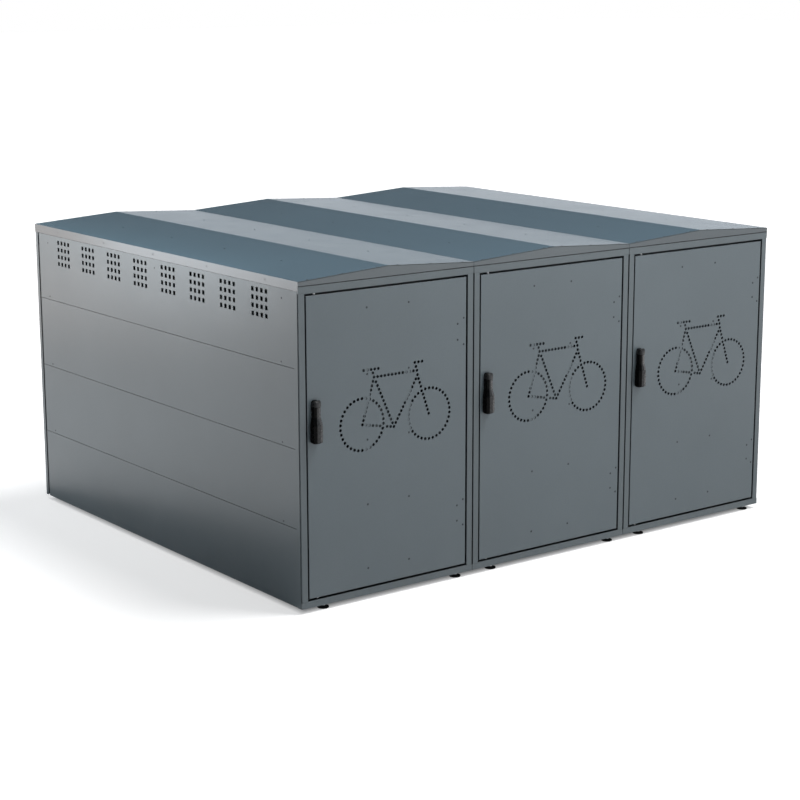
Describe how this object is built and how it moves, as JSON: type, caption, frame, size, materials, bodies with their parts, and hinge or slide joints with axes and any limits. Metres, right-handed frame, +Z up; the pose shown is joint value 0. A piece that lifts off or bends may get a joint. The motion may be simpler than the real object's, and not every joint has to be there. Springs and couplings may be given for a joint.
{
  "type": "bicycle locker",
  "caption": "Row of bicycle lockers with gabled roofs, hinged doors cut with a bicycle of round holes, swing handles driving rods up and down, vented side walls and levelling feet.",
  "frame": {"origin": "on the floor, at the middle of the outer box in X and Y", "axes": "+X to the right along the row as seen from the doors, +Y from the doors to the back, +Z up"},
  "size_m": [2.3988, 2.067, 1.254],
  "materials": {
    "body_paint": "semi-gloss powder coat",
    "roof_paint": "semi-gloss powder coat",
    "door_paint": "semi-gloss powder coat",
    "galvanised_steel": "zinc plated",
    "handle_plastic": "fine-grained black",
    "foot_rubber": "matt"
  },
  "bodies": {
    "locker": {"front_frame_1": "body_paint", "front_frame_2": "body_paint", "front_frame_3": "body_paint", "back_panel_1": "body_paint", "back_panel_2": "body_paint", "back_panel_3": "body_paint", "partition_1": "body_paint", "partition_2": "body_paint", "side_cassette_left_1": "body_paint", "side_cassette_left_2": "body_paint", "side_cassette_left_3": "body_paint", "side_cassette_left_4": "body_paint", "side_cassette_right_1": "body_paint", "side_cassette_right_2": "body_paint", "side_cassette_right_3": "body_paint", "side_cassette_right_4": "body_paint", "roof_1": "roof_paint", "roof_2": "roof_paint", "roof_3": "roof_paint", "foot_front_left_1": "foot_rubber", "foot_front_right_1": "foot_rubber", "foot_rear_left_1": "foot_rubber", "foot_rear_right_1": "foot_rubber", "foot_front_left_2": "foot_rubber", "foot_front_right_2": "foot_rubber", "foot_rear_left_2": "foot_rubber", "foot_rear_right_2": "foot_rubber", "foot_front_left_3": "foot_rubber", "foot_front_right_3": "foot_rubber", "foot_rear_left_3": "foot_rubber", "foot_rear_right_3": "foot_rubber"},
    "door_1": {"door_skin_1": "door_paint", "door_stiffener_1": "door_paint", "hinge_leaf_upper_1": "galvanised_steel", "hinge_leaf_lower_1": "galvanised_steel", "handle_base_1": "handle_plastic"},
    "spindle_1": {"lock_spindle_1": "galvanised_steel"},
    "lever_1": {"handle_lever_1": "handle_plastic"},
    "rod_top_1": {"lock_rod_top_1": "galvanised_steel"},
    "rod_bottom_1": {"lock_rod_bottom_1": "galvanised_steel"},
    "door_2": {"door_skin_2": "door_paint", "door_stiffener_2": "door_paint", "hinge_leaf_upper_2": "galvanised_steel", "hinge_leaf_lower_2": "galvanised_steel", "handle_base_2": "handle_plastic"},
    "spindle_2": {"lock_spindle_2": "galvanised_steel"},
    "lever_2": {"handle_lever_2": "handle_plastic"},
    "rod_top_2": {"lock_rod_top_2": "galvanised_steel"},
    "rod_bottom_2": {"lock_rod_bottom_2": "galvanised_steel"},
    "door_3": {"door_skin_3": "door_paint", "door_stiffener_3": "door_paint", "hinge_leaf_upper_3": "galvanised_steel", "hinge_leaf_lower_3": "galvanised_steel", "handle_base_3": "handle_plastic"},
    "spindle_3": {"lock_spindle_3": "galvanised_steel"},
    "lever_3": {"handle_lever_3": "handle_plastic"},
    "rod_top_3": {"lock_rod_top_3": "galvanised_steel"},
    "rod_bottom_3": {"lock_rod_bottom_3": "galvanised_steel"}
  },
  "joints": [
    {"name": "door_hinge_1", "type": "hinge", "parent": "locker", "child": "door_1", "pos_m": [-0.45, -0.989, 0.6175], "axis": [0, 0, 1], "range_deg": [0, 105]},
    {"name": "handle_turn_1", "type": "hinge", "parent": "door_1", "child": "spindle_1", "pos_m": [-1.134, -1.0005, 0.785], "axis": [0, -1, 0], "range_deg": [0, 90]},
    {"name": "handle_pull_1", "type": "hinge", "parent": "spindle_1", "child": "lever_1", "pos_m": [-1.134, -1.0156, 0.785], "axis": [-1, 0, 0], "range_deg": [0, 35]},
    {"name": "rod_top_slide_1", "type": "slide", "parent": "door_1", "child": "rod_top_1", "axis": [0, 0, 1], "range_m": [0, 0.0198]},
    {"name": "rod_bottom_slide_1", "type": "slide", "parent": "door_1", "child": "rod_bottom_1", "axis": [0, 0, -1], "range_m": [0, 0.0198]},
    {"name": "door_hinge_2", "type": "hinge", "parent": "locker", "child": "door_2", "pos_m": [0.35, -0.989, 0.6175], "axis": [0, 0, 1], "range_deg": [0, 105]},
    {"name": "handle_turn_2", "type": "hinge", "parent": "door_2", "child": "spindle_2", "pos_m": [-0.334, -1.0005, 0.785], "axis": [0, -1, 0], "range_deg": [0, 90]},
    {"name": "handle_pull_2", "type": "hinge", "parent": "spindle_2", "child": "lever_2", "pos_m": [-0.334, -1.0156, 0.785], "axis": [-1, 0, 0], "range_deg": [0, 35]},
    {"name": "rod_top_slide_2", "type": "slide", "parent": "door_2", "child": "rod_top_2", "axis": [0, 0, 1], "range_m": [0, 0.0198]},
    {"name": "rod_bottom_slide_2", "type": "slide", "parent": "door_2", "child": "rod_bottom_2", "axis": [0, 0, -1], "range_m": [0, 0.0198]},
    {"name": "door_hinge_3", "type": "hinge", "parent": "locker", "child": "door_3", "pos_m": [1.15, -0.989, 0.6175], "axis": [0, 0, 1], "range_deg": [0, 105]},
    {"name": "handle_turn_3", "type": "hinge", "parent": "door_3", "child": "spindle_3", "pos_m": [0.466, -1.0005, 0.785], "axis": [0, -1, 0], "range_deg": [0, 90]},
    {"name": "handle_pull_3", "type": "hinge", "parent": "spindle_3", "child": "lever_3", "pos_m": [0.466, -1.0156, 0.785], "axis": [-1, 0, 0], "range_deg": [0, 35]},
    {"name": "rod_top_slide_3", "type": "slide", "parent": "door_3", "child": "rod_top_3", "axis": [0, 0, 1], "range_m": [0, 0.0198]},
    {"name": "rod_bottom_slide_3", "type": "slide", "parent": "door_3", "child": "rod_bottom_3", "axis": [0, 0, -1], "range_m": [0, 0.0198]}
  ],
  "couplings": [
    {"joint": "rod_top_slide_1", "follows": "handle_turn_1", "m_per_rad": 0.012604},
    {"joint": "rod_bottom_slide_1", "follows": "handle_turn_1", "m_per_rad": 0.012604},
    {"joint": "rod_top_slide_2", "follows": "handle_turn_2", "m_per_rad": 0.012604},
    {"joint": "rod_bottom_slide_2", "follows": "handle_turn_2", "m_per_rad": 0.012604},
    {"joint": "rod_top_slide_3", "follows": "handle_turn_3", "m_per_rad": 0.012604},
    {"joint": "rod_bottom_slide_3", "follows": "handle_turn_3", "m_per_rad": 0.012604}
  ]
}
